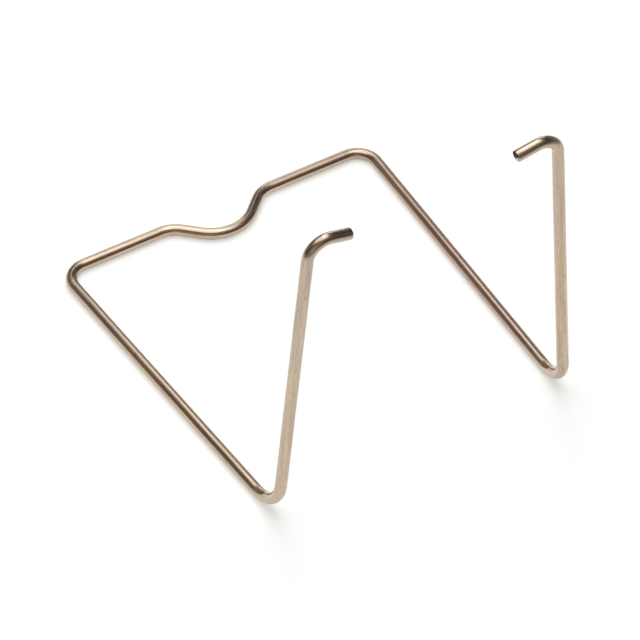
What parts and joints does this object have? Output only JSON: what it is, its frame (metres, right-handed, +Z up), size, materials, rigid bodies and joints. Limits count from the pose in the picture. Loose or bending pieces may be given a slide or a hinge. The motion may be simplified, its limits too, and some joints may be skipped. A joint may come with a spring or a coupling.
{
  "type": "relay socket clip",
  "caption": "Bent spring-wire retaining clip: a bar with a centre bow, side arms, upright legs and inward feet that hook a relay into its socket.",
  "frame": {"origin": "on the surface that the clip lies on, under the centre of its bounding box", "axes": "+X along the bar to the right-hand arm, +Y from the feet towards the bar, +Z up the legs from the plane of bar and arms"},
  "size_m": [0.0304, 0.035, 0.0307],
  "materials": {
    "spring_wire": "bright drawn spring wire with a warm plated tone and faint lengthwise drawing lines"
  },
  "bodies": {
    "root": {"retaining_clip": "spring_wire"}
  },
  "joints": []
}
